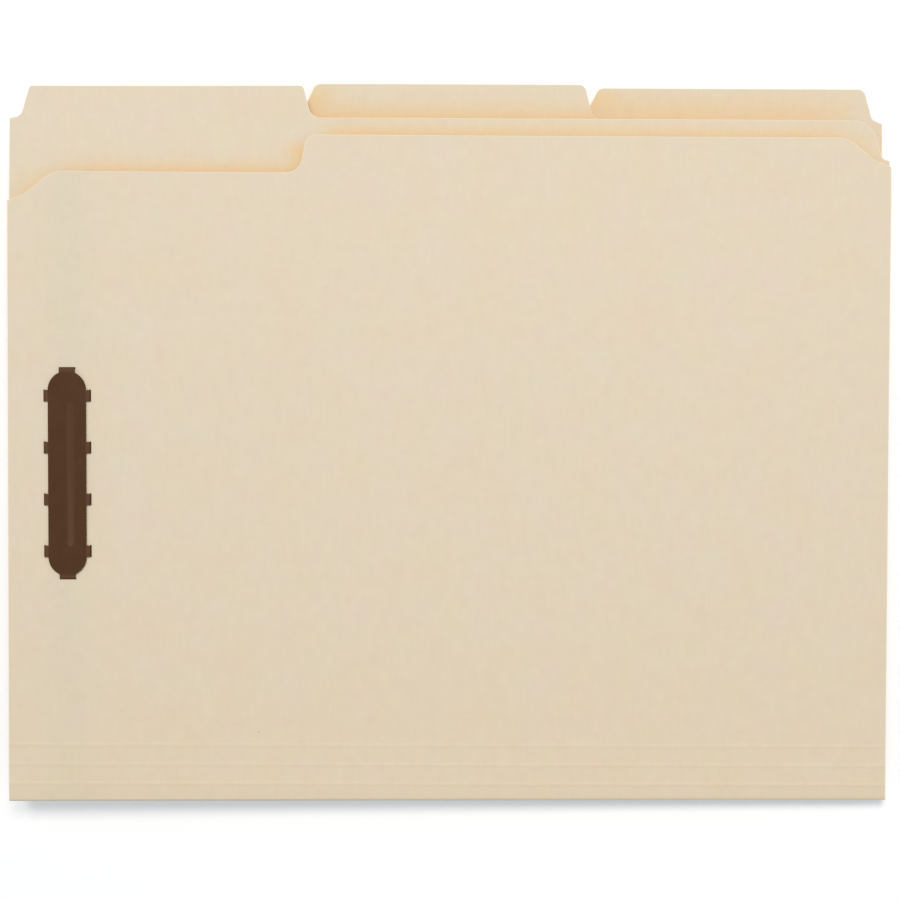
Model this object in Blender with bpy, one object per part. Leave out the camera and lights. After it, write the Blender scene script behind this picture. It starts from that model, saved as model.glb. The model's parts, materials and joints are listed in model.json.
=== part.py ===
"""Set of three manila fastener folders, stacked so that their staggered tabs show.

Each folder is one sheet of manila stock: a back panel with a tab, a rounded spine and a cover.
A two-prong steel fastener is clinched through the cover, and another through the back panel.
The stack is thick at the fasteners and closes up towards the other side.
Metres, +X to the right, +Y from the folds to the tabs, +Z up.
"""
import math

import bmesh
import bpy
from mathutils import Matrix, Vector

for old in list(bpy.data.objects):
    bpy.data.objects.remove(old, do_unlink=True)

# Manila sheet
PAPER = 0.00028
FOLDER_WIDTH = 0.29845
COVER_HEIGHT = 0.2256
SHOULDER_HEIGHT = 0.2324
FOLD_DEPTH = 0.0013

# Rounded corners: the turn of one step, and the largest share of a side that one corner takes
ARC_STEP = math.radians(12)
CORNER_SHARE = 0.48

# Tab, and the ledge beside a tab that stands at the side
TAB_RISE = 0.0103
TAB_WIDTH = 0.0926
TAB_SIDE_OFFSET = 0.0063
TAB_FLARE = 0.0028
TAB_TOP_RADIUS = 0.0019
TAB_BASE_RADIUS = 0.0026
SIDE_LEDGE_DROP = 0.0008

# Corner of a back panel that has no tab above it
CORNER_DROP = 0.0144
CORNER_RUN = 0.0066
CORNER_RADIUS = 0.008
LEDGE_DEPTH = 0.0024
LEDGE_RISE = 0.0007
LEDGE_RADIUS = 0.0015

# Thumb notch of a cover, and the cover's slanted corners
NOTCH_DEPTH = 0.0124
NOTCH_INSET = 0.0010
NOTCH_FLARE = 0.0026
NOTCH_BOTTOM_RADIUS = 0.005
NOTCH_TOP_RADIUS = 0.0035
SLANT_DROP = 0.0105
SLANT_RUN = 0.0148
SLANT_RADIUS = 0.009
SLANT_LEDGE = 0.0055
SLANT_LEDGE_RISE = 0.0021

# Expansion scores pressed into the outside of a cover, along its fold
SCORE_COUNT = 3
FIRST_SCORE = 0.0054
SCORE_PITCH = 0.00655
SCORE_WIDTH = 0.0006
SCORE_DEPTH = 0.00008

# Steel fastener
STEEL = 0.0004
PLATE_WIDTH = 0.0127
PLATE_LENGTH = 0.0689
FASTENER_FROM_SIDE = 0.0202
FASTENER_FROM_FOLD = 0.1115
GROOVE_WIDTH = 0.0027
GROOVE_LENGTH = 0.049
GROOVE_OFFSET = 0.0008
GROOVE_DEPTH = 0.00018
TANG_ROWS = 4
TANG_WIDTH = 0.0038
TANG_REACH = 0.0015
TANG_FOOT = 0.0030
PRONG_WIDTH = 0.0053
PRONG_REACH = 0.0012
PRONG_TIP_GAP = 0.003

# Stack: free play inside each folder, and how each sheet leans on the one below it
CLEARANCE = 0.0003
REAR_SLACK = 0.0015
MIDDLE_SLACK = 0.0005
FRONT_SLACK = 0.00055
SEAT_SLACK = 0.0001
CLOSED_INNER_GAP = 0.0009
CLOSED_OUTER_GAP = 0.0006
REAR_SPLAY = math.radians(0.35)
MIDDLE_SPLAY = math.radians(0.02)
FRONT_SPLAY = math.radians(0.1)
LEAN = math.radians(0.33)
MIDDLE_SHIFT = -0.0006
FRONT_SHIFT = 0.0003
FRONT_OVERHANG = 0.0019

# Values that follow from the sizes above
SIDE = FOLDER_WIDTH / 2
FASTENER_X = FASTENER_FROM_SIDE - SIDE
FASTENER_Y = FASTENER_FROM_FOLD - FOLD_DEPTH
PLATE_REACH = PLATE_LENGTH / 2 + PRONG_REACH
PRONG_ROOT = PLATE_REACH - STEEL - CLEARANCE
FASTENER_TO_FAR_SIDE = SIDE - FASTENER_X


def material(name, colour, roughness, metallic):
    """Principled material from an sRGB colour of 0 to 255."""
    made = bpy.data.materials.new(name)
    made.use_nodes = True
    shader = made.node_tree.nodes["Principled BSDF"]
    linear = [((c / 255 + 0.055) / 1.055) ** 2.4 for c in colour]
    shader.inputs["Base Color"].default_value = (*linear, 1)
    shader.inputs["Roughness"].default_value = roughness
    shader.inputs["Metallic"].default_value = metallic
    return made


MANILA = material("manila_stock", (228, 214, 188), 0.85, 0.0)
BROWN_STEEL = material("brown_coated_steel", (86, 59, 40), 0.45, 0.2)


def add_object(name, mesh, finish, parent, location=(0, 0, 0), rotation=(0, 0, 0)):
    """Object placed in its parent's frame."""
    made = bpy.data.objects.new(name, mesh)
    bpy.context.collection.objects.link(made)
    made.parent = parent
    made.location = location
    made.rotation_euler = rotation
    if finish:
        mesh.materials.append(finish)
    return made


def mesh_from(bm, name):
    """Closed mesh with its faces turned outwards."""
    bmesh.ops.recalc_face_normals(bm, faces=bm.faces)
    mesh = bpy.data.meshes.new(name)
    bm.to_mesh(mesh)
    bm.free()
    return mesh


def rounded_outline(corners):
    """Closed outline through (x, y, radius) corners, in order; a radius of 0 leaves the corner sharp."""
    outline = []
    for i, (x, y, radius) in enumerate(corners):
        corner = Vector((x, y))
        back = Vector(corners[i - 1][:2]) - corner
        ahead = Vector(corners[(i + 1) % len(corners)][:2]) - corner
        if radius == 0:
            outline.append(corner)
            continue
        half_turn = (math.pi - back.angle(ahead)) / 2
        room = CORNER_SHARE * min(back.length, ahead.length)
        setback = min(radius * math.tan(half_turn), room)
        bisector = (back.normalized() + ahead.normalized()).normalized()
        centre = corner + bisector * setback / math.sin(half_turn)
        spoke = corner + back.normalized() * setback - centre
        turn = spoke.angle_signed(corner + ahead.normalized() * setback - centre)
        steps = math.ceil(2 * half_turn / ARC_STEP)
        for k in range(steps + 1):
            outline.append(centre + Matrix.Rotation(-turn * k / steps, 2) @ spoke)
    return outline


def prism(bm, outline, bottom, top):
    """Solid of an outline between two heights."""
    base = bm.faces.new([bm.verts.new((p.x, p.y, bottom)) for p in outline])
    grown = bmesh.ops.extrude_face_region(bm, geom=[base])["geom"]
    raised = [v for v in grown if isinstance(v, bmesh.types.BMVert)]
    bmesh.ops.translate(bm, vec=(0, 0, top - bottom), verts=raised)


def add_box(bm, centre, size):
    """Box from its centre and its three sizes."""
    place = Matrix.Translation(centre) @ Matrix.Diagonal((*size, 1))
    bmesh.ops.create_cube(bm, size=1, matrix=place)


def cut(target, cutter):
    """Take the cutter's volume out of the target."""
    cutter.hide_render = True
    cutter.display_type = "WIRE"
    difference = target.modifiers.new(cutter.name, "BOOLEAN")
    difference.operation = "DIFFERENCE"
    difference.object = cutter


def tab_corners_x(tab):
    """Where the left and right top corners of a tab are."""
    left = {
        "left": TAB_SIDE_OFFSET - SIDE,
        "centre": -TAB_WIDTH / 2,
        "right": SIDE - TAB_SIDE_OFFSET - TAB_WIDTH,
    }[tab]
    return left, left + TAB_WIDTH


def back_end(tab, side):
    """Corners from the edge of a back panel, on one side, up to the top of its tab."""
    left, right = tab_corners_x(tab)
    tab_x = right if side > 0 else left
    tab_top = SHOULDER_HEIGHT + TAB_RISE
    if tab == ("right" if side > 0 else "left"):
        end = [(side * SIDE, SHOULDER_HEIGHT - SIDE_LEDGE_DROP, 0)]
    else:
        low = SHOULDER_HEIGHT - CORNER_DROP
        end = [
            (side * SIDE, low, 0),
            (side * (SIDE - LEDGE_DEPTH), low + LEDGE_RISE, LEDGE_RADIUS),
            (side * (SIDE - CORNER_RUN), SHOULDER_HEIGHT, CORNER_RADIUS),
        ]
    end.append((tab_x + side * TAB_FLARE, SHOULDER_HEIGHT, TAB_BASE_RADIUS))
    end.append((tab_x, tab_top, TAB_TOP_RADIUS))
    return end


def cover_end(tab, side):
    """Corners from the edge of a cover, on one side, to the middle of its thumb notch."""
    left, right = tab_corners_x(tab)
    tab_x = right if side > 0 else left
    notch_at_side = tab == ("right" if side > 0 else "left")
    top = COVER_HEIGHT - (NOTCH_DEPTH if notch_at_side else 0)
    low = top - SLANT_DROP
    end = [
        (side * SIDE, low, 0),
        (side * (SIDE - SLANT_LEDGE), low + SLANT_LEDGE_RISE, SLANT_RADIUS),
        (side * (SIDE - SLANT_RUN), top, SLANT_RADIUS),
    ]
    if not notch_at_side:
        notch_x = tab_x - side * NOTCH_INSET
        end.append((notch_x + side * NOTCH_FLARE, COVER_HEIGHT, NOTCH_TOP_RADIUS))
        end.append((notch_x, COVER_HEIGHT - NOTCH_DEPTH, NOTCH_BOTTOM_RADIUS))
    return end


def panel_mesh(name, right_end, left_end):
    """Flat sheet whose origin is on its crease; heights in the outline are from the fold."""
    crease = FOLD_DEPTH + CLEARANCE / 2
    corners = [(-SIDE, crease, 0), (SIDE, crease, 0)] + right_end + left_end[::-1]
    outline = rounded_outline([(x, y - FOLD_DEPTH, radius) for x, y, radius in corners])
    bm = bmesh.new()
    prism(bm, outline, -PAPER / 2, PAPER / 2)
    return mesh_from(bm, name)


def tang_places():
    """Distances of the side tangs along the plate, spread over its straight sides."""
    outermost = (PLATE_LENGTH - PLATE_WIDTH - TANG_WIDTH) / 2
    return [outermost * (2 * i / (TANG_ROWS - 1) - 1) for i in range(TANG_ROWS)]


def add_slits(panel):
    """Cut the slits that the fastener's tangs and prongs pass through."""
    bm = bmesh.new()
    deep = 4 * PAPER
    thick = STEEL + 2 * CLEARANCE
    side_x = PLATE_WIDTH / 2 + TANG_REACH - STEEL / 2
    end_y = PLATE_REACH - STEEL / 2
    for side in (-1, 1):
        for y in tang_places():
            place = (FASTENER_X + side * side_x, FASTENER_Y + y, 0)
            add_box(bm, place, (thick, TANG_WIDTH + 2 * CLEARANCE, deep))
        place = (FASTENER_X, FASTENER_Y + side * end_y, 0)
        add_box(bm, place, (PRONG_WIDTH + 2 * CLEARANCE, thick, deep))
    name = panel.name + "_slits"
    cut(panel, add_object(name, mesh_from(bm, name), None, panel))


def add_scores(cover):
    """Press the expansion scores into the outside of a cover."""
    bm = bmesh.new()
    for i in range(SCORE_COUNT):
        y = FIRST_SCORE + i * SCORE_PITCH - FOLD_DEPTH
        add_box(bm, (0, y, PAPER / 2), (2 * FOLDER_WIDTH, SCORE_WIDTH, 2 * SCORE_DEPTH))
    name = cover.name + "_scores"
    cut(cover, add_object(name, mesh_from(bm, name), None, cover))


def extrude(bm, face, offset):
    """Extrude one face by an offset and give the moved face."""
    grown = bmesh.ops.extrude_discrete_faces(bm, faces=[face])["faces"][0]
    bmesh.ops.translate(bm, vec=offset, verts=grown.verts)
    return grown


def face_near(bm, point):
    """The face whose centre is nearest to a point."""
    return min(bm.faces, key=lambda f: (f.calc_center_median() - Vector(point)).length)


def plate_mesh(name):
    """Outside plate with its tangs bent through the sheet; origin on the sheet's middle, +Z outwards."""
    half = PLATE_WIDTH / 2
    straight = (PLATE_LENGTH - PLATE_WIDTH) / 2
    under = PAPER / 2 + CLEARANCE
    through = 2 * CLEARANCE + PAPER
    side_run = [Vector((half, y + s * TANG_WIDTH / 2)) for y in tang_places() for s in (-1, 1)]
    arc_end = math.acos(PRONG_WIDTH / PLATE_WIDTH)
    arc_steps = math.ceil(arc_end / ARC_STEP)
    arc_turns = [arc_end * k / arc_steps for k in range(1, arc_steps + 1)]
    end_run = [Vector((half * math.cos(a), straight + half * math.sin(a))) for a in arc_turns]
    right = [Vector((p.x, -p.y)) for p in end_run[::-1]] + side_run + end_run
    outline = right + [Vector((-p.x, -p.y)) for p in right]
    bm = bmesh.new()
    prism(bm, outline, under, under + STEEL)
    middle = under + STEEL / 2
    foot = under - through - STEEL / 2
    for side in (-1, 1):
        for y in tang_places():
            face = face_near(bm, (side * half, y, middle))
            face = extrude(bm, face, (side * (TANG_REACH - STEEL), 0, 0))
            extrude(bm, face, (side * STEEL, 0, 0))
            leg = face_near(bm, (side * (half + TANG_REACH - STEEL / 2), y, under))
            leg = extrude(bm, leg, (0, 0, -through))
            extrude(bm, leg, (0, 0, -STEEL))
            toe = face_near(bm, (side * (half + TANG_REACH - STEEL), y, foot))
            extrude(bm, toe, (-side * TANG_FOOT, 0, 0))
        chord_y = straight + half * math.sin(arc_end)
        face = face_near(bm, (0, side * chord_y, middle))
        face = extrude(bm, face, (0, side * (PLATE_REACH - STEEL - chord_y), 0))
        extrude(bm, face, (0, side * STEEL, 0))
        leg = face_near(bm, (0, side * (PLATE_REACH - STEEL / 2), under))
        extrude(bm, leg, (0, 0, -through - STEEL))
    return mesh_from(bm, name)


def groove_mesh(name):
    """Cutter for the groove that is pressed along the plate."""
    half_w = GROOVE_WIDTH / 2
    half_l = GROOVE_LENGTH / 2
    ends = [(-half_w, -half_l), (half_w, -half_l), (half_w, half_l), (-half_w, half_l)]
    outline = rounded_outline([(GROOVE_OFFSET + x, y, half_w) for x, y in ends])
    top = PAPER / 2 + CLEARANCE + STEEL
    bm = bmesh.new()
    prism(bm, outline, top - GROOVE_DEPTH, top + STEEL)
    return mesh_from(bm, name)


def prong_mesh(name):
    """Flat prong with a round tip; origin at its root, on the bend it turns about."""
    half = PRONG_WIDTH / 2
    length = PRONG_ROOT - PRONG_TIP_GAP / 2
    bm = bmesh.new()
    corners = [(-half, 0, 0), (half, 0, 0), (half, length, half), (-half, length, half)]
    prism(bm, rounded_outline(corners), -STEEL / 2, STEEL / 2)
    return mesh_from(bm, name)


def add_fastener(panel, name, turned):
    """Plate outside the panel, and two prongs that lie on its inside and point at each other."""
    hub = add_object(name, None, None, panel, (FASTENER_X, FASTENER_Y, 0), (0, math.pi * turned, 0))
    plate_name = name + "_plate"
    plate = add_object(plate_name, plate_mesh(plate_name), BROWN_STEEL, hub)
    groove_name = name + "_groove"
    cut(plate, add_object(groove_name, groove_mesh(groove_name), None, hub))
    inside = -(PAPER / 2 + CLEARANCE + STEEL / 2)
    for which, side in (("lower", -1), ("upper", 1)):
        prong_name = f"{name}_{which}_prong"
        turn = (0, 0, math.pi * (side > 0))
        add_object(prong_name, prong_mesh(prong_name), BROWN_STEEL, hub, (0, side * PRONG_ROOT, inside), turn)


def spine_mesh(name, left_height, right_height):
    """Half-round fold, lofted from its left end to its right end; origin on its lower crease."""
    depth = FOLD_DEPTH - CLEARANCE / 2 - PAPER / 2
    steps = math.ceil(math.pi / ARC_STEP)
    turns = [math.pi * k / steps for k in range(steps + 1)]
    bm = bmesh.new()
    rings = []
    for x, height in ((-SIDE, left_height), (SIDE, right_height)):
        ring = []
        for offset, order in ((PAPER / 2, turns), (-PAPER / 2, turns[::-1])):
            for a in order:
                y = -CLEARANCE / 2 - (depth + offset) * math.sin(a)
                z = height / 2 - (height / 2 + offset) * math.cos(a)
                ring.append(bm.verts.new((x, y, z)))
        rings.append(ring)
        bm.faces.new(ring)
    edges = [e for face in bm.faces for e in face.edges]
    bmesh.ops.bridge_loops(bm, edges=edges)
    return mesh_from(bm, name)


def inner_gap(splay, slack):
    """Space between a back panel and its cover at the fasteners: two prongs and their play."""
    return 2 * STEEL + 3 * CLEARANCE + PLATE_REACH * math.tan(splay) + slack


def seat_gap():
    """Space between a cover and the folder that lies on it, at the fasteners: two plates and their play."""
    return 2 * STEEL + 3 * CLEARANCE + (PLATE_REACH + FRONT_OVERHANG) * math.tan(LEAN) + SEAT_SLACK


def closing_roll(gap_at_fastener, pitch, closed_gap):
    """Turn about Y that closes a gap down to closed_gap at the far end of the fold."""
    at_fold = gap_at_fastener - FASTENER_Y * math.tan(pitch)
    return math.atan((at_fold - closed_gap) / FASTENER_TO_FAR_SIDE)


def height_at_crease(gap_at_fastener, pitch, roll):
    """Height of the upper sheet's middle over the lower sheet's, at the middle of the crease."""
    return PAPER + gap_at_fastener - FASTENER_Y * math.tan(pitch) + FASTENER_X * math.tan(roll)


def add_folder(name, tab, splay, slack, parent, location, rotation):
    """One folder, from its back panel to its cover; gives the cover."""
    back_name = name + "_back_panel"
    outline = (back_end(tab, 1), back_end(tab, -1))
    back = add_object(back_name, panel_mesh(back_name, *outline), MANILA, parent, location, rotation)
    add_slits(back)
    add_fastener(back, name + "_back_fastener", True)

    gap = inner_gap(splay, slack)
    roll = closing_roll(gap, splay, CLOSED_INNER_GAP)
    height = height_at_crease(gap, splay, roll)
    taper = SIDE * math.tan(roll)
    spine_name = name + "_spine"
    spine = add_object(spine_name, spine_mesh(spine_name, height + taper, height - taper), MANILA, back)

    cover_name = name + "_cover"
    outline = (cover_end(tab, 1), cover_end(tab, -1))
    cover_sheet = panel_mesh(cover_name, *outline)
    cover = add_object(cover_name, cover_sheet, MANILA, spine, (0, 0, height), (splay, roll, 0))
    add_slits(cover)
    add_scores(cover)
    add_fastener(cover, name + "_cover_fastener", False)
    return cover


def seat(shift, overhang):
    """Place and turn of a folder in the frame of the cover that it lies on."""
    roll = closing_roll(seat_gap(), LEAN, CLOSED_OUTER_GAP)
    return (shift, -overhang, height_at_crease(seat_gap(), LEAN, roll)), (LEAN, roll, 0)


stack = add_object("folder_stack", None, None, None)
rear_height = STEEL + CLEARANCE + PAPER / 2
rear_cover = add_folder(
    "rear_folder", "right", REAR_SPLAY, REAR_SLACK, stack, (0, 0, rear_height), (0, 0, 0)
)
middle_cover = add_folder(
    "middle_folder", "centre", MIDDLE_SPLAY, MIDDLE_SLACK, rear_cover, *seat(MIDDLE_SHIFT, 0)
)
add_folder(
    "front_folder", "left", FRONT_SPLAY, FRONT_SLACK, middle_cover, *seat(FRONT_SHIFT, FRONT_OVERHANG)
)

# The set's origin is the centre of its box, on the surface that it lies on
bpy.context.view_layer.update()
pieces = [o for o in bpy.data.objects if o.type == "MESH" and not o.hide_render]
reach = [o.matrix_world @ v.co for o in pieces for v in o.data.vertices]
for axis in (0, 1):
    ends = [p[axis] for p in reach]
    stack.location[axis] = -(min(ends) + max(ends)) / 2
bpy.context.view_layer.update()
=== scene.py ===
import json
import math

import bmesh
import bpy
from mathutils import Matrix, Vector, noise
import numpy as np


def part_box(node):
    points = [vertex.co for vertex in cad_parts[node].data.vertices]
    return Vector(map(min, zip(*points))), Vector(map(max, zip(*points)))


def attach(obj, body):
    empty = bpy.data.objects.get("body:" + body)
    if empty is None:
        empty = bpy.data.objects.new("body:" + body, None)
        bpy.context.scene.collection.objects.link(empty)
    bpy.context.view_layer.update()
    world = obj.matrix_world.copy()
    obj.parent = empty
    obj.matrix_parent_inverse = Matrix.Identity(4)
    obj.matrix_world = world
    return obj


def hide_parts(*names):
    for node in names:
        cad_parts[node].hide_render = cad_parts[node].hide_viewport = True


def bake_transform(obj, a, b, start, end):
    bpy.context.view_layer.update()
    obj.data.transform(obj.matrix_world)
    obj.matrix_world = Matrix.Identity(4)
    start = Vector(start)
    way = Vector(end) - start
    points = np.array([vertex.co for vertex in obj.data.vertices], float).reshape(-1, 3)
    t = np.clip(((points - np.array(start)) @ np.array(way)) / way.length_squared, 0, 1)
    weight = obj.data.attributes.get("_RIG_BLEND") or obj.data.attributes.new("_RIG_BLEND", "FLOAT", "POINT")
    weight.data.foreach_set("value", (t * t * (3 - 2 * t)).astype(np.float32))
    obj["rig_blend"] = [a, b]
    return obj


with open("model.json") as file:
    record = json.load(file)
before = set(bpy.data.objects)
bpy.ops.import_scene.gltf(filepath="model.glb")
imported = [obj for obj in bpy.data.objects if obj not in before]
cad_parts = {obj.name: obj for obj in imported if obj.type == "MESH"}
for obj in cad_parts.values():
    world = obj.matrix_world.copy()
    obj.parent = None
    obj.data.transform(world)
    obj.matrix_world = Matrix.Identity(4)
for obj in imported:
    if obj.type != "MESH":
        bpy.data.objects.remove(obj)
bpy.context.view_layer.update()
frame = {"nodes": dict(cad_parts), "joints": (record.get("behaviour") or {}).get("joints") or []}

scene = bpy.context.scene
joints = {joint["name"]: joint for joint in frame["joints"]}

# Back panels. Each is one half of a folder, die cut from manila card, with the tab on its top edge.
# The card runs on round the fold as far as the fold's middle line, where the cover's half meets it.
# Heights are taken from the panel's crease, and pairs are for the left and the right end.
FOLDERS = ("rear", "middle", "front")
flat_low, flat_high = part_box("rear_folder_back_panel")
CARD = flat_high.z - flat_low.z
SIDE = (flat_high.x - flat_low.x) / 2
TAB_TOP = flat_high.y - joints["rear_folder_lower_fold"]["pos_m"][1]


def linear(code):
    """Linear colour of an sRGB hex code."""
    parts = [int(code[i:i + 2], 16) / 255 for i in (1, 3, 5)]
    return (*[((c + 0.055) / 1.055) ** 2.4 for c in parts], 1)


def add_node(tree, kind, inputs, **settings):
    """Node with its settings, and its inputs: each a value, or the socket that feeds it."""
    node = tree.nodes.new(kind)
    for name, value in settings.items():
        setattr(node, name, value)
    for key, value in inputs.items():
        if isinstance(value, bpy.types.NodeSocket):
            tree.links.new(value, node.inputs[key])
        else:
            node.inputs[key].default_value = value
    return node


# Manila card: pale buff pulp board, calendered and uncoated, so it is matt with a cloudy formation.
# The eye sees soft blotches and a faint grain, rare bark specks, and paler edges where the die cut it,
# partly the card's own core and partly a painted highlight along the rim of the upper face.
# Along the edges of the sheets that lie on a card, a deeper warm buff is painted as their shade, and the
# front cover is painted warmer towards its fold as shade.
# Under those sheets and on inner faces the card is given a deeper buff as well.
# Single fibres are too fine to show, so the grain is drawn as coarse as a bundle of them.
CLOUD = 0.004
CLOUD_DEPTH = 0.017
DRIFT = 0.017
BLUSH = 0.011
FIBRE_WIDTH = 0.0011
FIBRE_LENGTH = 0.009
FIBRE_DEPTH = 0.01
SPECK_SPACING = 0.012
SPECK_CORE = 0.00012
SPECK_RADIUS = 0.000312
SPECK_RARITY = 0.84
CUT_PALENESS_AND_HIGHLIGHT = 0.8

card = bpy.data.materials.new("manila_card")
card.use_nodes = True
tree = card.node_tree
shader = tree.nodes["Principled BSDF"]
flat = add_node(tree, "ShaderNodeUVMap", {}, uv_map="flat_card").outputs["UV"]
cloud = add_node(tree, "ShaderNodeTexNoise",
                 {"Vector": flat, "Scale": 1 / CLOUD, "Detail": 3.0, "Roughness": 0.6})
drift = add_node(tree, "ShaderNodeTexNoise", {"Vector": flat, "Scale": 1 / DRIFT, "Detail": 2.0})
blush = add_node(tree, "ShaderNodeTexNoise",
                 {"Vector": flat, "Scale": 1 / BLUSH, "Detail": 1.0, "Distortion": 0.6})
upright = add_node(tree, "ShaderNodeMapping",
                   {"Vector": flat, "Scale": (1 / FIBRE_WIDTH, 1 / FIBRE_LENGTH, 1)})
grain = add_node(tree, "ShaderNodeTexNoise", {"Vector": upright.outputs[0], "Scale": 1.0, "Detail": 3.0})
speck = add_node(tree, "ShaderNodeTexVoronoi", {"Vector": flat, "Scale": 1 / SPECK_SPACING})
base_buff = add_node(tree, "ShaderNodeMix",
                    {0: drift.outputs["Fac"], 6: linear("#E8D8BC"), 7: linear("#E8DACA")}, data_type="RGBA")
# Painted shade along the edges of the sheets above, and a deeper buff under them.
buff_shade = add_node(tree, "ShaderNodeAttribute", {}, attribute_name="deep_buff")
buff = add_node(tree, "ShaderNodeMix",
                {0: buff_shade.outputs["Fac"], 6: base_buff.outputs[2], 7: linear("#F0D1A2")}, data_type="RGBA")
flush = add_node(tree, "ShaderNodeMix",
                 {0: blush.outputs["Fac"], 6: linear("#FFF9FA"), 7: linear("#FBFFF8")}, data_type="RGBA")
flushed = add_node(tree, "ShaderNodeMix", {0: 1.0, 6: buff.outputs[2], 7: flush.outputs[2]},
                   data_type="RGBA", blend_type="MULTIPLY")
# A little duller, less red, in a band in line with the fastener.
band_attribute = add_node(tree, "ShaderNodeAttribute", {}, attribute_name="rubbed")
dulled = add_node(tree, "ShaderNodeMix",
                  {0: band_attribute.outputs["Fac"], 6: flushed.outputs[2], 7: linear("#FBFEFE")},
                  data_type="RGBA", blend_type="MULTIPLY")
cloudy = add_node(tree, "ShaderNodeMapRange",
                  {"Value": cloud.outputs["Fac"], "From Min": 0.3, "From Max": 0.7,
                   "To Min": 1 - CLOUD_DEPTH, "To Max": 1 + CLOUD_DEPTH})
fibrous = add_node(tree, "ShaderNodeMapRange",
                   {"Value": grain.outputs["Fac"], "From Min": 0.3, "From Max": 0.7,
                    "To Min": 1 - FIBRE_DEPTH, "To Max": 1 + FIBRE_DEPTH})
formed = add_node(tree, "ShaderNodeMath", {0: cloudy.outputs[0], 1: fibrous.outputs[0]}, operation="MULTIPLY")
pulp = add_node(tree, "ShaderNodeMix", {0: 1.0, 6: dulled.outputs[2], 7: formed.outputs[0]},
                data_type="RGBA", blend_type="MULTIPLY")
dot = add_node(tree, "ShaderNodeMapRange",
               {"Value": speck.outputs["Distance"], "From Min": SPECK_CORE / SPECK_SPACING,
                "From Max": SPECK_RADIUS / SPECK_SPACING, "To Min": 1.0, "To Max": 0.0})
rare = add_node(tree, "ShaderNodeMath", {0: speck.outputs["Color"], 1: SPECK_RARITY},
                operation="GREATER_THAN")
bark = add_node(tree, "ShaderNodeMath", {0: dot.outputs[0], 1: rare.outputs[0]}, operation="MULTIPLY")
specked = add_node(tree, "ShaderNodeMix",
                   {0: bark.outputs[0], 6: pulp.outputs[2], 7: linear("#BFA57E")}, data_type="RGBA")
# Paler cut edges: the card's core on the cut faces, and a painted highlight along the rim of the upper face.
cut = add_node(tree, "ShaderNodeAttribute", {}, attribute_name="cut_edge")
paler = add_node(tree, "ShaderNodeMath", {0: cut.outputs["Fac"], 1: CUT_PALENESS_AND_HIGHLIGHT}, operation="MULTIPLY")
edged = add_node(tree, "ShaderNodeMix",
                 {0: paler.outputs[0], 6: specked.outputs[2], 7: linear("#F6EAD2")}, data_type="RGBA")
tooth = add_node(tree, "ShaderNodeBump",
                 {"Height": cloud.outputs["Fac"], "Strength": 0.15, "Distance": 0.0001})
tree.links.new(edged.outputs[2], shader.inputs["Base Color"])
tree.links.new(tooth.outputs[0], shader.inputs["Normal"])
shader.inputs["Roughness"].default_value = 0.85
shader.inputs["Specular IOR Level"].default_value = 0.2

UPWARD = 0.9


def panel_place(node, joint):
    """Frame of a panel: origin on its crease, X along the crease, Y up the panel, Z out of its upper side."""
    across = Vector(joints[joint]["axis"]).normalized()
    faces = frame["nodes"][node].data.polygons
    out = sum((f.normal * f.area for f in faces if f.normal.z > UPWARD), Vector()).normalized()
    turn = Matrix((across, out.cross(across), out)).transposed()
    return Matrix.Translation(joints[joint]["pos_m"]) @ turn.to_4x4()


places = {}
for folder in FOLDERS:
    prefix = folder + "_folder_"
    places[folder, "back"] = panel_place(prefix + "back_panel", prefix + "lower_fold")
    places[folder, "cover"] = panel_place(prefix + "cover", prefix + "upper_fold")

HALF_FOLD = 0.0017
FOLD_STEPS = 8
FOLD_DEPTH = {"rear": (0.00115, 0.00115), "middle": (0.00115, 0.00115), "front": (0.0008, 0.0019)}


def fold_point(folder, x, share):
    """Point on the rounded fold, from the back panel's crease at 0 to the cover's crease at 1."""
    below = places[folder, "back"] @ Vector((x, 0, 0))
    above = places[folder, "cover"] @ Vector((x, 0, 0))
    up = (places[folder, "back"].col[1] + places[folder, "cover"].col[1]).xyz.normalized()
    left, right = FOLD_DEPTH[folder]
    depth = left + (right - left) * (x + SIDE) / (2 * SIDE)
    turn = math.pi * share
    return (below + above) / 2 + (below - above) / 2 * math.cos(turn) - up * depth * math.sin(turn)


MERGE = 1e-7
CORNER_STEPS = 8
CORNER_SHARE = 0.48


def cut_line(bm, point, normal, faces):
    """Divide faces of a flat sheet along a line."""
    edges = {e for f in faces for e in f.edges}
    corners = {v for f in faces for v in f.verts}
    bmesh.ops.bisect_plane(bm, geom=[*corners, *edges, *faces], dist=MERGE, plane_co=point, plane_no=normal)


def round_corners(bm, corners):
    """Round the corners of a flat sheet, each by its radius."""
    for x, y, radius in corners:
        if radius == 0:
            continue
        corner = min(bm.verts, key=lambda v: (v.co - Vector((x, y, 0))).length)
        back, ahead = (e.other_vert(corner).co - corner.co for e in corner.link_edges)
        reach = radius * math.tan((math.pi - back.angle(ahead)) / 2)
        reach = min(reach, CORNER_SHARE * back.length, CORNER_SHARE * ahead.length)
        bmesh.ops.bevel(bm, geom=[corner], offset=reach, offset_type="OFFSET", affect="VERTICES",
                        segments=CORNER_STEPS, profile=0.5, material=-1)


# The fastener's plate, as far as the slits in the card follow from it.
STEEL = 0.0004
PLATE_WIDTH = 0.0127
PLATE_LENGTH = 0.0689
PLATE_FROM_SIDE = 0.0202
PLATE_FROM_CREASE = 0.1102
TANG_WIDTH = 0.0038
TANG_REACH = 0.0015
TANG_COUNT = 4
PRONG_WIDTH = 0.0053
PRONG_REACH = 0.0012
PLAY = 0.0003
SLIT_PLAY = 0.00012
SLIT_NEAR = 0.008
plate_x = PLATE_FROM_SIDE - SIDE
tang_run = (PLATE_LENGTH - PLATE_WIDTH - TANG_WIDTH) / 2
tang_rows = [tang_run * (2 * i / (TANG_COUNT - 1) - 1) for i in range(TANG_COUNT)]


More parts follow.
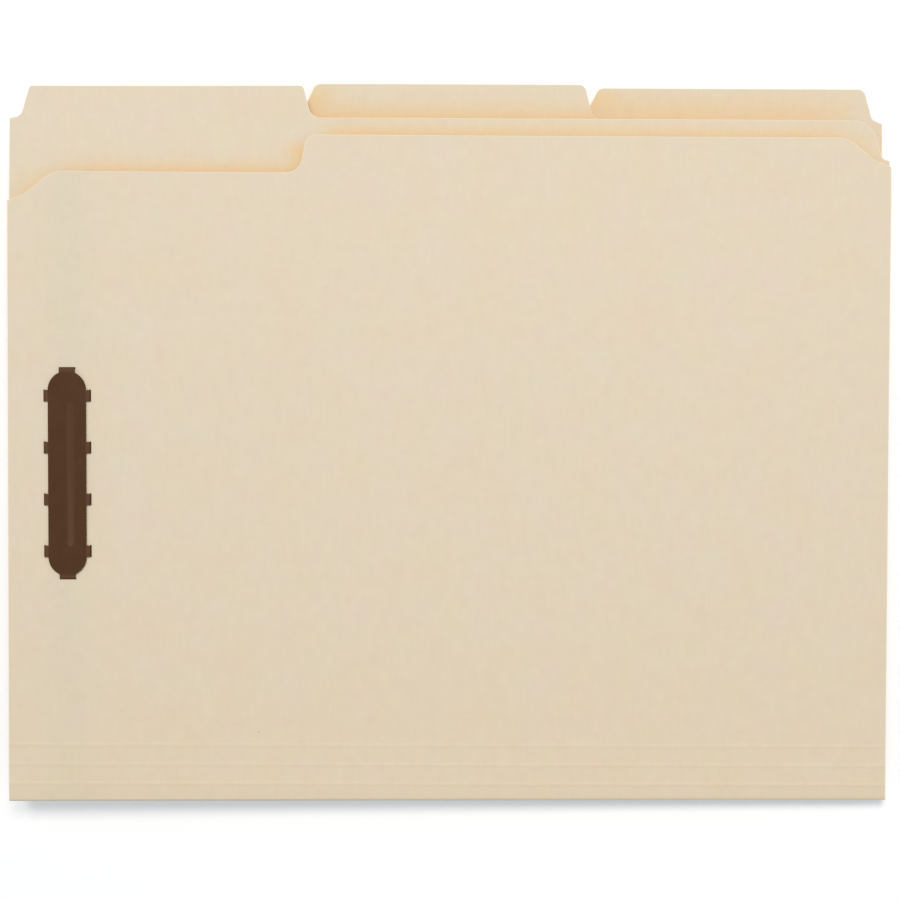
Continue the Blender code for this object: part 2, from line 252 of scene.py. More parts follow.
def cut_slits(bm):
    """Cut the slits for the tangs and the end legs of a fastener into flat card."""
    side_x = PLATE_WIDTH / 2 + TANG_REACH - STEEL / 2
    end_y = PLATE_LENGTH / 2 + PRONG_REACH - STEEL / 2
    thick = STEEL / 2 + SLIT_PLAY
    slits = [(side * side_x, y, thick, TANG_WIDTH / 2 + SLIT_PLAY) for side in (-1, 1) for y in tang_rows]
    slits += [(0, side * end_y, PRONG_WIDTH / 2 + SLIT_PLAY, thick) for side in (-1, 1)]
    for x, y, half_x, half_y in slits:
        middle = Vector((plate_x + x, PLATE_FROM_CREASE + y, 0))
        for step, normal in ((half_x, (1, 0, 0)), (half_y, (0, 1, 0))):
            for side in (-1, 1):
                near = [f for f in bm.faces if (f.calc_center_median() - middle).length < SLIT_NEAR]
                cut_line(bm, middle + side * step * Vector(normal), normal, near)
        gone = [f for f in bm.faces
                if abs(f.calc_center_median().x - middle.x) < half_x
                and abs(f.calc_center_median().y - middle.y) < half_y]
        bmesh.ops.delete(bm, geom=gone, context="FACES")


CELL = 0.004
FINE_CELL = 0.002
FINE_FROM = 0.196
RIM = 0.00032


def cut_card(corners, rows):
    """Flat card cut to an outline of (x, y, radius) corners and to the slits of its fastener.

    Lines along rows of (height, skew) and across them let it bend. They are closer where the tone changes."""
    bm = bmesh.new()
    bm.faces.new([bm.verts.new((x, y, 0)) for x, y, radius in corners])
    round_corners(bm, corners)
    bmesh.ops.inset_region(bm, faces=bm.faces[:], thickness=RIM, use_boundary=True, use_even_offset=True)
    cut_layer = bm.verts.layers.float.new("cut_edge")
    for v in bm.verts:
        v[cut_layer] = float(v.is_boundary)
    for row, skew in rows:
        cut_line(bm, (0, row, 0), (skew, 1, 0), bm.faces[:])
    for k in range(1, round(2 * SIDE / CELL)):
        cut_line(bm, (k * CELL - SIDE, 0, 0), (1, 0, 0), bm.faces[:])
    top = max(y for x, y, radius in corners)
    for k in range(1, round((top - FINE_FROM) / FINE_CELL)):
        cut_line(bm, (0, FINE_FROM + k * FINE_CELL, 0), (0, 1, 0), bm.faces[:])
    for k in range(1, round(2 * SIDE / FINE_CELL), 2):
        upper = [f for f in bm.faces if f.calc_center_median().y > FINE_FROM]
        cut_line(bm, (k * FINE_CELL - SIDE, 0, 0), (1, 0, 0), upper)
    cut_slits(bm)
    return bm


SLACK_WAVE = 0.00022
WAVE_LENGTH = 0.085
SLACK_FROM = 0.05


def clamp(share):
    """A share, kept between 0 and 1."""
    return min(1, max(0, share))


def wave(x, y, seed):
    """Slight slackness of a sheet, none at its crease and none at its fastener."""
    free = clamp(y / SLACK_FROM) ** 2
    held = math.exp(-((x - plate_x) ** 2 + (y - PLATE_FROM_CREASE) ** 2) / SLACK_FROM ** 2)
    return SLACK_WAVE * free * (1 - held) * noise.noise(Vector((x / WAVE_LENGTH, y / WAVE_LENGTH, seed)))


CARD_EDGE = math.radians(40)


def finish_card(bm, name, bent, deep, seed):
    """Bend a flat card into place, give it its thickness and its tone, and make it a piece."""
    flat_layer = bm.verts.layers.float_vector.new("flat")
    normal_layer = bm.verts.layers.float_vector.new("out")
    deep_layer = bm.verts.layers.float.new("deep_buff")
    for v in bm.verts:
        v[flat_layer] = v.co
        v.co = bent(v.co.x, v.co.y)
    bm.normal_update()
    for v in bm.verts:
        v[normal_layer] = v.normal
    grown = bmesh.ops.extrude_face_region(bm, geom=bm.faces[:])["geom"]
    upper = {v for v in grown if isinstance(v, bmesh.types.BMVert)}
    for v in bm.verts:
        v.co += v[normal_layer] * (CARD / 2 if v in upper else -CARD / 2)
        v[deep_layer] = deep(v[flat_layer].x, v[flat_layer].y, v in upper)
    bmesh.ops.recalc_face_normals(bm, faces=bm.faces)
    flat_map = bm.loops.layers.uv.new("flat_card")
    for face in bm.faces:
        for loop in face.loops:
            loop[flat_map].uv = (loop.vert[flat_layer].x + seed, loop.vert[flat_layer].y)
    mesh = bpy.data.meshes.new(name)
    bm.to_mesh(mesh)
    bm.free()
    mesh.shade_smooth()
    mesh.set_sharp_from_angle(angle=CARD_EDGE)
    mesh.materials.append(card)
    piece = bpy.data.objects.new(name, mesh)
    scene.collection.objects.link(piece)
    return piece


# The tab is at the left (-1), the centre (0) or the right (1) of its panel.
# Its ends flare out to their feet on the shoulders.
TAB_SIDE = {"rear": 1, "middle": 0, "front": -1}
TAB_FROM_SIDE = {"rear": 0.0060, "middle": 0, "front": 0.0066}
TAB_WIDTH = 0.0926
TAB_EXTRA = {"rear": (0.00045, 0.00012), "middle": (0, 0), "front": (0, 0)}
TAB_INSET = {"rear": (0.0006, 0), "middle": (0.0004, 0), "front": (0, 0)}
TAB_FLARE = {"rear": (0.0055, 0.0028), "middle": (0.0055, 0.0028), "front": (0.0028, 0.0028)}
TAB_FOOT_RADIUS = {"rear": (0.0026, 0.0016), "middle": (0.0026, 0.0038), "front": (0.0026, 0.0038)}
TAB_TOP_RADIUS = {"rear": 0.0026, "middle": 0.0026, "front": 0.0011}
TAB_LEDGE_DROP = {"rear": 0.0017, "front": 0.0010}
SHOULDER = {"rear": (0.2311, 0.2311), "middle": (0.2296, 0.2296), "front": (0.2312, 0.2306)}
RIGHT_EXTRA = {"rear": 0.0003, "middle": 0, "front": 0.0005}
CORNER_DROP = 0.0138
CORNER_RUN = 0.0066
CORNER_RADIUS = 0.008
LEDGE = 0.0024
LEDGE_RISE = 0.0007
LEDGE_RADIUS = 0.0015


def back_outline(folder):
    """Corners of a back panel, from the right end of the fold round to its left end."""
    middle = TAB_SIDE[folder] * (SIDE - TAB_FROM_SIDE[folder] - TAB_WIDTH / 2)
    pairs = [pair[folder] for pair in (TAB_EXTRA, TAB_INSET, TAB_FLARE, TAB_FOOT_RADIUS, SHOULDER)]
    ends = []
    for side, extra, inset, flare, foot_radius, shoulder in zip((-1, 1), *pairs):
        edge = SIDE + (RIGHT_EXTRA[folder] if side > 0 else 0)
        if TAB_SIDE[folder] == side:
            end = [(side * edge, shoulder - TAB_LEDGE_DROP[folder], 0)]
        else:
            low = shoulder - CORNER_DROP
            end = [(side * edge, low, 0),
                   (side * (edge - LEDGE), low + LEDGE_RISE, LEDGE_RADIUS),
                   (side * (edge - CORNER_RUN), shoulder, CORNER_RADIUS)]
        tab_x = middle + side * (TAB_WIDTH / 2 - inset)
        end.append((tab_x + side * flare, shoulder, foot_radius))
        end.append((tab_x, TAB_TOP + extra, TAB_TOP_RADIUS[folder]))
        ends.append([(side * edge, -HALF_FOLD, 0), *end])
    left, right = ends
    return right + left[::-1]


# The cover's outline is needed here already, because the back panel's tone follows it.
COVER_TOP = 0.2243
COVER_LEAN = {"rear": 0, "middle": 0, "front": 0.0005}
NOTCH_DEPTH = 0.0127
NOTCH_INSET = 0.0016
NOTCH_FLARE = 0.0026
NOTCH_BOTTOM_RADIUS = 0.005
NOTCH_TOP_RADIUS = 0.0035
SLANT_DROP = 0.0099
SLANT_RUN = 0.0148
SLANT_RADIUS = 0.009
SLANT_LEDGE = 0.0055
SLANT_LEDGE_RISE = 0.0021
NEAR = 1e-6


def cover_outline(folder):
    """Corners of a cover, from the right end of the fold round to its left end."""
    tab = [x for x, y, radius in back_outline(folder) if y > TAB_TOP - NEAR]
    ends = []
    for side, tab_x in ((-1, min(tab)), (1, max(tab))):
        notched = TAB_SIDE[folder] == side
        top = COVER_TOP - (NOTCH_DEPTH if notched else 0)
        low = top - SLANT_DROP
        end = [(side * SIDE, -HALF_FOLD, 0),
               (side * SIDE, low, 0),
               (side * (SIDE - SLANT_LEDGE), low + SLANT_LEDGE_RISE, SLANT_RADIUS),
               (side * (SIDE - SLANT_RUN), top, SLANT_RADIUS)]
        if not notched:
            notch_x = tab_x - side * NOTCH_INSET
            end.append((notch_x + side * NOTCH_FLARE, COVER_TOP, NOTCH_TOP_RADIUS))
            end.append((notch_x, COVER_TOP - NOTCH_DEPTH, NOTCH_BOTTOM_RADIUS))
        ends.append([(x + COVER_LEAN[folder] * y / COVER_TOP, y, radius) for x, y, radius in end])
    left, right = ends
    return right + left[::-1]


outlines = {}
for folder in FOLDERS:
    outlines[folder, "back"] = back_outline(folder)
    outlines[folder, "cover"] = cover_outline(folder)

# The deep buff along the edges of the sheets that lie on a panel is painted shade, and runs further sideways
# than up.
# Round the outer corners of those sheets it fades, by how much of a ring of looks they hide, as shade lifts
# where light gets in.
SIDEWAYS = 0.6
SHELTER_REACH = 0.012
SHELTER_SPREAD = 1.25
SHELTER_LOOKS = 48
SHELTER_FADE = (0.55, 0.95)


def covers(corners, x, y):
    """Whether an outline covers a point."""
    inside = False
    for (x0, y0, _), (x1, y1, _) in zip(corners, corners[1:] + corners[:1]):
        if (y0 > y) != (y1 > y) and x < x0 + (y - y0) * (x1 - x0) / (y1 - y0):
            inside = not inside
    return inside


def distance_outside(corners, x, y):
    """How far a point is outside an outline, less than 0 where the outline covers it.

    A step sideways counts for less than a step up, because the tone reaches further sideways."""
    spot = Vector((x * SIDEWAYS, y))
    nearest = math.inf
    for (x0, y0, _), (x1, y1, _) in zip(corners, corners[1:] + corners[:1]):
        start = Vector((x0 * SIDEWAYS, y0))
        line = Vector((x1 * SIDEWAYS, y1)) - start
        share = clamp((spot - start).dot(line) / line.length_squared)
        nearest = min(nearest, (spot - start - share * line).length)
    return -nearest if covers(corners, x, y) else nearest


def soft_step(share):
    """A share that starts and ends gently."""
    return clamp(share) ** 2 * (3 - 2 * clamp(share))


def shelter(coverings, x, y, distance):
    """1 along a straight edge of the sheets above, less round their outer corners, which let light in."""
    reach = max(SHELTER_REACH, SHELTER_SPREAD * distance)
    turns = [2 * math.pi * (k + 0.5) / SHELTER_LOOKS for k in range(SHELTER_LOOKS)]
    ring = [(x + reach * math.cos(a), y + reach * math.sin(a)) for a in turns]
    hidden = sum(any(covers(corners, a, b - drop) for corners, drop in coverings) for a, b in ring)
    straight = math.acos(distance / reach) / math.pi
    low, high = SHELTER_FADE
    return soft_step((hidden / SHELTER_LOOKS / straight - low) / (high - low))


# The painted shade is full for a margin beyond an edge and then falls off over its reach.
# Its level runs from the left to the right, and is less near both ends of a panel.
TONE_LEVEL = {"rear": (0.95, 0.56), "middle": (0.95, 0.56), "front": (0.95, 0.74)}
TONE_MARGIN = {"rear": 0.0028, "middle": 0.0012, "front": 0.0007}
TONE_REACH = {"rear": 0.0065, "middle": 0.0050, "front": 0.0032}
TONE_FALL = 1.5
TONE_END = 0.5
TONE_END_RUN = (0.2, 0.1)
TONE_INSIDE = 0.4
TONE_DEPTH = 0.014
FADE = 0.01


def back_tone(folder):
    """Tone of a back panel: painted shade along the edges of the sheets that lie on it, and a deeper buff
    under them and, but for the rear one, on its inner face.
    """
    coverings = [(outlines[folder, "cover"], 0)]
    for other in FOLDERS[FOLDERS.index(folder) + 1:]:
        drop = places[other, "back"].translation.y - places[folder, "back"].translation.y
        coverings.append((outlines[other, "back"], drop))
    level_left, level_right = TONE_LEVEL[folder]
    run_left, run_right = TONE_END_RUN

    def deep(x, y, upper):
        if not upper:
            return 0 if folder == "rear" else TONE_INSIDE * clamp(y / FADE)
        outside = min(distance_outside(corners, x, y - drop) for corners, drop in coverings)
        clear = outside - TONE_MARGIN[folder]
        along = (x + SIDE) / (2 * SIDE)
        level = level_left + (level_right - level_left) * along
        level *= min(1, TONE_END + (1 - TONE_END) * min(along / run_left, (1 - along) / run_right))
        if outside > -SHELTER_REACH:
            level *= shelter(coverings, x, y, max(0, outside))
        if clear > 0:
            return level * math.exp(-(clear / TONE_REACH[folder]) ** TONE_FALL)
        near_rim = math.exp(-(clear / TONE_DEPTH) ** 2) * clamp(y / TAB_TOP)
        return TONE_INSIDE + (level - TONE_INSIDE) * near_rim

    return deep


CORNER_SAG = 0.0024
SAG_START = Vector((-0.020, 0.160))
SAG_END = Vector((-SIDE, 0.245))


def back_bend(folder, seed):
    """Shape of a back panel, from flat card to its place. The front one's free corner sags."""

    def bent(x, y):
        if y < 0:
            return fold_point(folder, x, -y / HALF_FOLD / 2)
        sag = 0
        if folder == "front":
            run_x, run_y = (clamp((a - b) / (c - b)) for a, b, c in zip((x, y), SAG_START, SAG_END))
            sag = CORNER_SAG * soft_step(run_x) * run_y ** 2
        return places[folder, "back"] @ Vector((x, y, wave(x, y, seed) - sag))

    return bent


fold_rows = [(-HALF_FOLD * k / FOLD_STEPS, 0) for k in range(FOLD_STEPS)]
panel_rows = [(k * CELL, 0) for k in range(1, round(TAB_TOP / CELL) + 1)]
for seed, folder in enumerate(FOLDERS):
    prefix = folder + "_folder_"
    sheet = cut_card(outlines[folder, "back"], fold_rows + panel_rows)
    sheet = finish_card(sheet, prefix + "back_sheet", back_bend(folder, seed), back_tone(folder), seed)
    place = places[folder, "back"]
    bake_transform(sheet, prefix + "back", prefix + "spine", start=place.translation,
             end=place @ Vector((0, -min(FOLD_DEPTH[folder]), 0)))
    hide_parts(prefix + "back_panel")

# Covers. The front half of each folder is lower, with a thumb notch under its tab and slanted corners.
# Three expansion scores are pressed along its fold, and stand out as fine ridges on the outside.
# The card is a little duller, less red, in a band in line with the fastener.
COVER_SEED = 5
SCORES = (0.0044, 0.0109, 0.0175)
SCORE_SKEW = 0.0067
SCORE_WIDTH = 0.0008
SCORE_HEIGHT = 0.00010
SCORE_CUTS = 3
PLAIN_FROM = 0.024
FOLD_RISE = 0.00015
RISE_LENGTH = 0.03
BAND_WIDTH = 0.0065
# Painted warm shade on the front cover, deepest at its fold.
TONE_FOLD = 0.22
TONE_RISE = 0.05


def cover_bend(folder, seed):
    """Shape of a cover, from flat card to its place. The front one rises a little behind its fold."""

    def bent(x, y):
        if y < 0:
            return fold_point(folder, x, 1 + y / HALF_FOLD / 2)
        ridge = sum(max(0, 1 - abs(y + SCORE_SKEW * x - score) / SCORE_WIDTH) for score in SCORES)
        lift = wave(x, y, seed) + SCORE_HEIGHT * ridge
        if folder == "front":
            strip = SCORES[0] - SCORE_SKEW * x
            lift += FOLD_RISE * min(1, y / strip) * math.exp(-max(0, y - strip) / RISE_LENGTH)
        return places[folder, "cover"] @ Vector((x, y, lift))

    return bent


def cover_tone(folder):
    """Tone of a cover: the front one has painted warm shade towards its fold, the others a deeper buff, as do
    all inner faces.
    """

    def deep(x, y, upper):
        if not upper:
            return TONE_INSIDE
        if folder == "front":
            return TONE_FOLD * math.exp(-max(0, y) / TONE_RISE)
        return TONE_INSIDE * clamp(y / FADE)

    return deep


score_steps = range(-SCORE_CUTS, SCORE_CUTS + 1)
score_rows = [(y + step * SCORE_WIDTH / 2, SCORE_SKEW) for y in SCORES for step in score_steps]
plain_rows = [(k * CELL, 0) for k in range(round(PLAIN_FROM / CELL), round(COVER_TOP / CELL) + 1)]
for seed, folder in enumerate(FOLDERS, COVER_SEED):
    prefix = folder + "_folder_"
    sheet = cut_card(outlines[folder, "cover"], fold_rows + score_rows + plain_rows)
    band_layer = sheet.verts.layers.float.new("rubbed")
    for v in sheet.verts:
        v[band_layer] = math.exp(-((v.co.x - plate_x) / BAND_WIDTH) ** 2)
    sheet = finish_card(sheet, prefix + "cover_sheet", cover_bend(folder, seed), cover_tone(folder), seed)
    place = places[folder, "cover"]
    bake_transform(sheet, prefix + "cover", prefix + "spine", start=place.translation,
             end=place @ Vector((0, -min(FOLD_DEPTH[folder]), 0)))
    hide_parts(prefix + "cover", prefix + "spine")

# Fastener plates. Each is stamped from sheet steel and lacquered brown, with a groove pressed along it.
# Its side tangs and end legs go through slits in the card, and the tangs are clinched on the inside.
GROOVE_WIDTH = 0.0027
GROOVE_LENGTH = 0.049
GROOVE_OFFSET = 0.0012
GROOVE_STEPS = ((0.00022, 0.00006), (0.00030, 0.00012))
GROOVE_HIGHLIGHT = 0.6
BEND = 0.00022
TOP_HIGHLIGHT = 1.0
TANG_ROOT = 0.0001
TANG_FOOT = 0.0030
LEG_END = 0.00004
ROUND_STEPS = 18
CURL_STEPS = 5
BURR = 0.00007
BURR_STEPS = 2
BURR_RIM = 3 * BURR
STEEL_EDGE = math.radians(50)
SQUARE_ON = 0.999

# Brown lacquered steel: a thin even coat over smooth strip, satin, with a faint orange peel.
# The eye sees a dark even brown; the groove and the flat tops of the tangs and end legs are painted a little
# lighter, as a painted highlight.
COAT_PATCH = 0.005
PEEL = 0.0007
steel = bpy.data.materials.new("brown_lacquered_steel")
steel.use_nodes = True
tree = steel.node_tree
shader = tree.nodes["Principled BSDF"]
spot = add_node(tree, "ShaderNodeTexCoord", {}).outputs["Object"]
coat = add_node(tree, "ShaderNodeTexNoise", {"Vector": spot, "Scale": 1 / COAT_PATCH, "Detail": 3.0})
peel = add_node(tree, "ShaderNodeTexNoise", {"Vector": spot, "Scale": 1 / PEEL, "Detail": 2.0})
brown = add_node(tree, "ShaderNodeMix",
                 {0: coat.outputs["Fac"], 6: linear("#4C301A"), 7: linear("#57381F")}, data_type="RGBA")
# Painted highlight on the groove and on the flat tops of the tangs and end legs.
highlight_attribute = add_node(tree, "ShaderNodeAttribute", {}, attribute_name="pressed")
highlit = add_node(tree, "ShaderNodeMix",
                {0: highlight_attribute.outputs["Fac"], 6: brown.outputs[2], 7: linear("#5F412D")}, data_type="RGBA")
satin = add_node(tree, "ShaderNodeMapRange", {"Value": coat.outputs["Fac"], "To Min": 0.40, "To Max": 0.54})
skin = add_node(tree, "ShaderNodeBump", {"Height": peel.outputs["Fac"], "Strength": 0.1, "Distance": 0.0001})
tree.links.new(highlit.outputs[2], shader.inputs["Base Color"])
tree.links.new(satin.outputs[0], shader.inputs["Roughness"])
tree.links.new(skin.outputs[0], shader.inputs["Normal"])
shader.inputs["Specular IOR Level"].default_value = 0.15


def steel_piece(bm, name, place):
    """Steel piece from its mesh, with soft edges, moved to its place."""
    bmesh.ops.remove_doubles(bm, verts=bm.verts, dist=MERGE)
    bmesh.ops.recalc_face_normals(bm, faces=bm.faces)
    sharp = [e for e in bm.edges if len(e.link_faces) == 2 and e.calc_face_angle() > STEEL_EDGE]
    bmesh.ops.bevel(bm, geom=sharp, offset=BURR, offset_type="OFFSET", affect="EDGES",
                    segments=BURR_STEPS, profile=0.5, material=-1, clamp_overlap=True)
    bm.normal_update()
    for face in bm.faces:
        face.smooth = max(abs(c) for c in face.normal) < SQUARE_ON
    bmesh.ops.transform(bm, matrix=place, verts=bm.verts)
    mesh = bpy.data.meshes.new(name)
    bm.to_mesh(mesh)
    bm.free()
    mesh.set_sharp_from_angle(angle=STEEL_EDGE)
    mesh.materials.append(steel)
    piece = bpy.data.objects.new(name, mesh)
    scene.collection.objects.link(piece)
    return piece


def pull(bm, face, offset):
    """Extrude one face by an offset and give the moved face."""
    moved = bmesh.ops.extrude_discrete_faces(bm, faces=[face])["faces"][0]
    bmesh.ops.translate(bm, vec=offset, verts=moved.verts)
    return moved


def curl(bm, face, centre, axis):
    """Bend one face on round an axis by a right angle and give the turned face."""
    grown = bmesh.ops.spin(bm, geom=[face, *face.edges, *face.verts], cent=centre, axis=axis,
                           angle=math.pi / 2, steps=CURL_STEPS, use_duplicate=False)["geom_last"]
    return next(f for f in grown if isinstance(f, bmesh.types.BMFace))


half_plate = PLATE_WIDTH / 2
straight = (PLATE_LENGTH - PLATE_WIDTH) / 2
plate_under = CARD / 2 + PLAY
plate_middle = plate_under + STEEL / 2
plate_top = plate_under + STEEL
leg_turn = math.acos(PRONG_WIDTH / PLATE_WIDTH)


def plate_blank():
    """Plate with its groove; origin on the card's middle, +Z out of the card."""
    side = [(half_plate, y + s * TANG_WIDTH / 2) for y in tang_rows for s in (-1, 1)]
    turns = [leg_turn * k / ROUND_STEPS for k in range(1, ROUND_STEPS + 1)]
    end = [(half_plate * math.cos(a), straight + half_plate * math.sin(a)) for a in turns]
    right = [(x, -y) for x, y in end[::-1]] + side + end
    outline = right + [(-x, -y) for x, y in right]
    bm = bmesh.new()
    pressed = bm.verts.layers.float.new("pressed")
    rim = [bm.verts.new((x, y, plate_top)) for x, y in outline]
    rim_edges = [bm.edges.new((rim[i - 1], rim[i])) for i in range(len(rim))]
    radius = GROOVE_WIDTH / 2
    run = GROOVE_LENGTH / 2 - radius
    bowl = []
    for k in range(2 * ROUND_STEPS):
        a = math.pi * (k + 0.5) / ROUND_STEPS
        y = math.copysign(run, math.sin(a)) + radius * math.sin(a)
        bowl.append(bm.verts.new((GROOVE_OFFSET + radius * math.cos(a), y, plate_top)))
    lip = [bm.edges.new((bowl[i - 1], bowl[i])) for i in range(len(bowl))]
    bmesh.ops.bridge_loops(bm, edges=rim_edges + lip)
    for step, drop in GROOVE_STEPS:
        wall = bmesh.ops.extrude_edge_only(bm, edges=lip)["geom"]
        lip = [e for e in wall if isinstance(e, bmesh.types.BMEdge)]
        for v in {v for e in lip for v in e.verts}:
            inward = Vector((GROOVE_OFFSET - v.co.x, max(-run, min(run, v.co.y)) - v.co.y, 0)).normalized()
            v.co += step * inward - Vector((0, 0, drop))
            v[pressed] = GROOVE_HIGHLIGHT
    bmesh.ops.holes_fill(bm, edges=lip, sides=0)
    skirt = bmesh.ops.extrude_edge_only(bm, edges=rim_edges)["geom"]
    hem = [v for v in skirt if isinstance(v, bmesh.types.BMVert)]
    bmesh.ops.translate(bm, vec=(0, 0, -STEEL), verts=hem)
    bmesh.ops.holes_fill(bm, edges=[e for e in skirt if isinstance(e, bmesh.types.BMEdge)], sides=0)
    bmesh.ops.recalc_face_normals(bm, faces=bm.faces)
    return bm


def nearest_face(bm, place):
    """Face whose middle is nearest to a place."""
    place = Vector(place)
    return min(bm.faces, key=lambda f: (f.calc_center_median() - place).length)


def paint_highlight(bm, face):
    """Give the corners of a face the painted highlight."""
    for v in face.verts:
        v[bm.verts.layers.float["pressed"]] = TOP_HIGHLIGHT


def bend_tang(bm, way, y):
    """Side tang: out of the plate's edge, down through the card and clinched back under it."""
    through = CARD + 2 * PLAY - 2 * BEND
    reach = TANG_REACH - STEEL - BEND
    bend_x = way * (half_plate + reach)
    face = nearest_face(bm, (way * half_plate, y, plate_middle))
    face = pull(bm, face, (way * TANG_ROOT, 0, 0))
    paint_highlight(bm, face)
    face = pull(bm, face, (way * (reach - TANG_ROOT), 0, 0))
    face = curl(bm, face, (bend_x, y, plate_under - BEND), (0, way, 0))
    face = pull(bm, face, (0, 0, -through))
    face = curl(bm, face, (bend_x, y, plate_under - BEND - through), (0, way, 0))
    pull(bm, face, (-way * (TANG_FOOT - BEND), 0, 0))


def bend_leg(bm, way):
    """End leg: out of the plate's end and down into the card's slit, where the prong takes over."""
    chord = straight + half_plate * math.sin(leg_turn)
    bend_y = PLATE_LENGTH / 2 + PRONG_REACH - STEEL - BEND
    face = nearest_face(bm, (0, way * chord, plate_middle))
    face = pull(bm, face, (0, way * (bend_y - chord), 0))
    paint_highlight(bm, face)
    face = curl(bm, face, (0, way * bend_y, plate_under - BEND), (-way, 0, 0))
    pull(bm, face, (0, 0, BEND - plate_under + LEG_END))


def plate_bmesh():
    """Plate with its groove, tangs and end legs. The painted highlight is kept off their turned-down ends and
    off what lies below the card's face.
    """
    bm = plate_blank()
    for way in (-1, 1):
        for y in tang_rows:
            bend_tang(bm, way, y)
        bend_leg(bm, way)
    pressed = bm.verts.layers.float["pressed"]
    for v in bm.verts:
        beyond = max(abs(v.co.x) - half_plate - TANG_REACH, abs(v.co.y) - PLATE_LENGTH / 2 - PRONG_REACH)
        if beyond > -STEEL or v.co.z < plate_under - BEND:
            v[pressed] = 0
    bm.normal_update()
    flat_top = [f for f in bm.faces
                if f.normal.z > SQUARE_ON and abs(f.calc_center_median().z - plate_top) < NEAR]
    bmesh.ops.inset_region(bm, faces=flat_top, thickness=BURR_RIM, use_boundary=True, use_even_offset=True)
    return bm


hubs = {}
for folder in FOLDERS:
    for panel, turned in (("back", math.pi), ("cover", 0)):
        prefix = f"{folder}_folder_{panel}_fastener"
        hub = places[folder, panel] @ Matrix.Translation((plate_x, PLATE_FROM_CREASE, 0))
        hubs[folder, panel] = hub @ Matrix.Rotation(turned, 4, "Y")
        plate = steel_piece(plate_bmesh(), prefix + "_stamping", hubs[folder, panel])
        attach(plate, f"{folder}_folder_{panel}")
        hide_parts(prefix + "_plate")

# Prongs. Each is a soft steel strip that goes on from an end leg of the plate, in the card's slit,
# and bends over to lie on the inside of the card. It has a round tip.
# Punched paper is threaded on when the two prongs of a fastener are bent up.
PRONG_TIP_GAP = 0.003
TIP_SHARE = 0.98
TIP_STEPS = 10
BEND_STEPS = 8
BEND_REACH = 0.0016
root = PLATE_LENGTH / 2 + PRONG_REACH - STEEL - PLAY
prong_length = root - PRONG_TIP_GAP / 2
bend_radius = PLAY + STEEL / 2
bend_length = bend_radius * math.pi / 2
leg_length = plate_middle - bend_radius


def prong_bmesh():
    """Prong from the end of its leg, round the bend to its root at the origin, and along +Y."""
    half = PRONG_WIDTH / 2
    start = -bend_length - leg_length
    bm = bmesh.new()
    corners = [(-half, start), (half, start), (half, prong_length), (-half, prong_length)]
    bm.faces.new([bm.verts.new((x, y, -STEEL / 2)) for x, y in corners])
    tip = [v for v in bm.verts if v.co.y > 0]
    bmesh.ops.bevel(bm, geom=tip, offset=TIP_SHARE * half, offset_type="OFFSET", affect="VERTICES",
                    segments=TIP_STEPS, profile=0.5, material=-1)
    for k in range(BEND_STEPS + 1):
        cut_line(bm, (0, -bend_length * k / BEND_STEPS, 0), (0, 1, 0), bm.faces[:])
        cut_line(bm, (0, BEND_REACH * k / BEND_STEPS, 0), (0, 1, 0), bm.faces[:])
    grown = bmesh.ops.extrude_face_region(bm, geom=bm.faces[:])["geom"]
    raised = [v for v in grown if isinstance(v, bmesh.types.BMVert)]
    bmesh.ops.translate(bm, vec=(0, 0, STEEL), verts=raised)
    for v in bm.verts:
        if v.co.y >= 0:
            continue
        back = min(-v.co.y, bend_length)
        turn = math.pi / 2 * back / bend_length
        radius = bend_radius - v.co.z
        rise = -v.co.y - back
        v.co.y = -radius * math.sin(turn)
        v.co.z = bend_radius - radius * math.cos(turn) + rise
    return bm


for folder in FOLDERS:
    for panel in ("back", "cover"):
        body = f"{folder}_folder_{panel}"
        for which, way in (("lower", -1), ("upper", 1)):
            node = f"{body}_fastener_{which}_prong"
            place = hubs[folder, panel] @ Matrix.Translation((0, way * root, -plate_middle))
            place = place @ Matrix.Rotation(math.pi * (way > 0), 4, "Z")
            prong = steel_piece(prong_bmesh(), node + "_strip", place)
            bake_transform(prong, body, f"{body}_{which}_prong",
                     start=place @ Vector((0, -bend_radius, bend_radius)),
                     end=place @ Vector((0, BEND_REACH, 0)))
            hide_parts(node)

# Floor: a plain white table top, lit as the folders are, which takes their shadow.
# Seen directly or in a reflection it is lifted to white.
FLOOR_HALF = 20
FLOOR_DROP = 0.00005
floor_mesh = bpy.data.meshes.new("floor")
bm = bmesh.new()
bmesh.ops.create_grid(bm, x_segments=1, y_segments=1, size=FLOOR_HALF,
                      matrix=Matrix.Translation((0, 0, -FLOOR_DROP)))
bm.to_mesh(floor_mesh)
bm.free()
white = bpy.data.materials.new("white_table")
white.use_nodes = True
tree = white.node_tree
shader = tree.nodes["Principled BSDF"]
shader.inputs["Base Color"].default_value = linear("#EDEDED")
shader.inputs["Roughness"].default_value = 1.0
shader.inputs["Specular IOR Level"].default_value = 0.0
ray = add_node(tree, "ShaderNodeLightPath", {})
seen = add_node(tree, "ShaderNodeMath", {0: ray.outputs["Is Camera Ray"], 1: ray.outputs["Is Glossy Ray"]},
                operation="MAXIMUM")
seen = add_node(tree, "ShaderNodeMath", {0: seen.outputs[0], 1: ray.outputs["Is Transmission Ray"]},
                operation="MAXIMUM")
spot = add_node(tree, "ShaderNodeTexCoord", {}).outputs["Object"]
away = add_node(tree, "ShaderNodeVectorMath", {0: spot}, operation="LENGTH").outputs["Value"]
lift = add_node(tree, "ShaderNodeMapRange",
                {"Value": away, "From Min": 0.3, "From Max": 1.2, "To Min": 0.235, "To Max": 0.5})
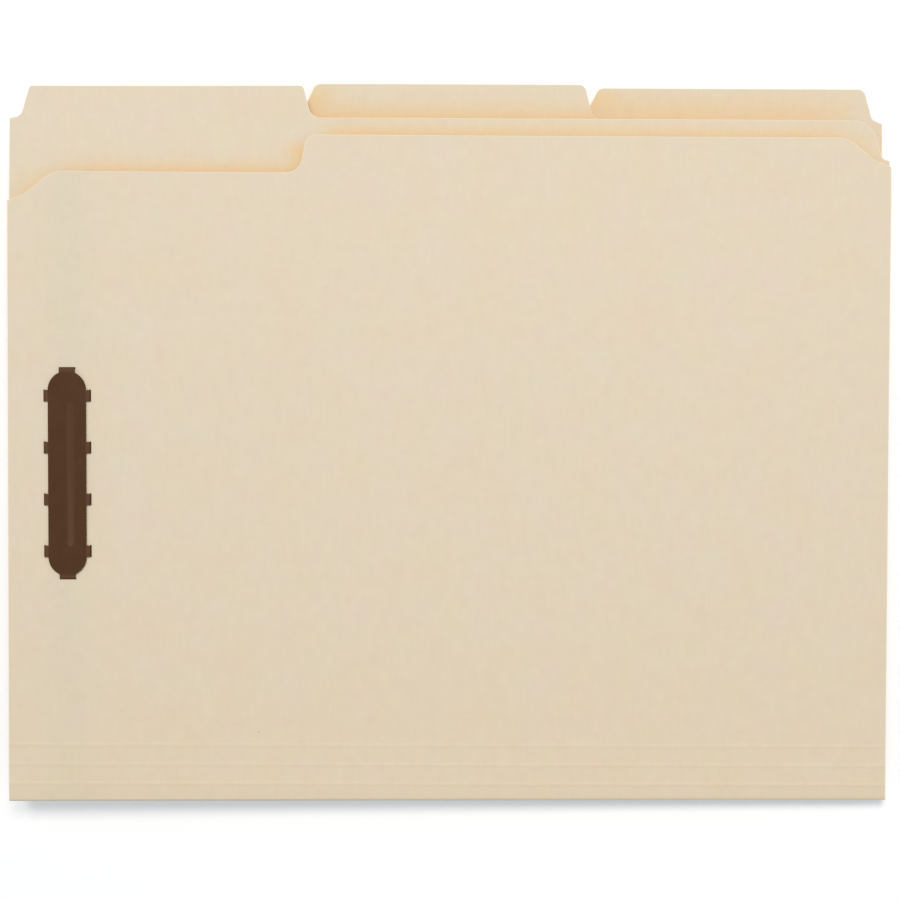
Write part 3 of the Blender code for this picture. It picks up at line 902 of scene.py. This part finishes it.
lifted = add_node(tree, "ShaderNodeMath", {0: seen.outputs[0], 1: lift.outputs[0]}, operation="MULTIPLY")
shader.inputs["Emission Color"].default_value = (1, 1, 1, 1)
tree.links.new(lifted.outputs[0], shader.inputs["Emission Strength"])
floor_mesh.materials.append(white)
floor = bpy.data.objects.new("floor", floor_mesh)
scene.collection.objects.link(floor)

# Light: an even, slightly cool room, soft warmer daylight from the upper left of the picture,
# and a lamp over the tabs, so that the folders grow a little darker towards the fold.
DAYLIGHT_FROM = Vector((-0.24, 0.60, 1.0))
LAMP_FROM = Vector((0.08, 0.47, 0.9))
world = bpy.data.worlds.new("white_room")
world.use_nodes = True
tree = world.node_tree
backdrop = tree.nodes["Background"]
ray = add_node(tree, "ShaderNodeLightPath", {})
room = add_node(tree, "ShaderNodeMix",
                {0: ray.outputs["Is Camera Ray"], 6: linear("#E9F4FF"), 7: linear("#FFFFFF")},
                data_type="RGBA")
glow = add_node(tree, "ShaderNodeMapRange",
                {"Value": ray.outputs["Is Camera Ray"], "To Min": 0.535, "To Max": 1.0})
tree.links.new(room.outputs[2], backdrop.inputs["Color"])
tree.links.new(glow.outputs[0], backdrop.inputs["Strength"])
scene.world = world

daylight = bpy.data.lights.new("daylight", "SUN")
daylight.energy = 0.97
daylight.angle = math.radians(22)
daylight.color = linear("#FFF6EA")[:3]
lamp = bpy.data.lights.new("lamp", "AREA")
lamp.shape = "DISK"
lamp.size = 0.36
lamp.energy = 3.25
lamp.color = daylight.color
for light, location in ((daylight, DAYLIGHT_FROM), (lamp, LAMP_FROM)):
    stand = bpy.data.objects.new(light.name, light)
    stand.location = location
    stand.rotation_euler = (-location).to_track_quat("-Z", "Y").to_euler()
    scene.collection.objects.link(stand)

# Camera: straight above, a little off the centre and turned by a trace.
camera_data = bpy.data.cameras.new("camera")
camera_data.lens = 50.79
camera_data.sensor_width = 36
camera = bpy.data.objects.new("camera", camera_data)
camera.location = (-0.00012, -0.00288, 0.442)
camera.rotation_euler = (0, 0, 0.0009)
scene.collection.objects.link(camera)
scene.camera = camera
scene.view_settings.view_transform = "Standard"
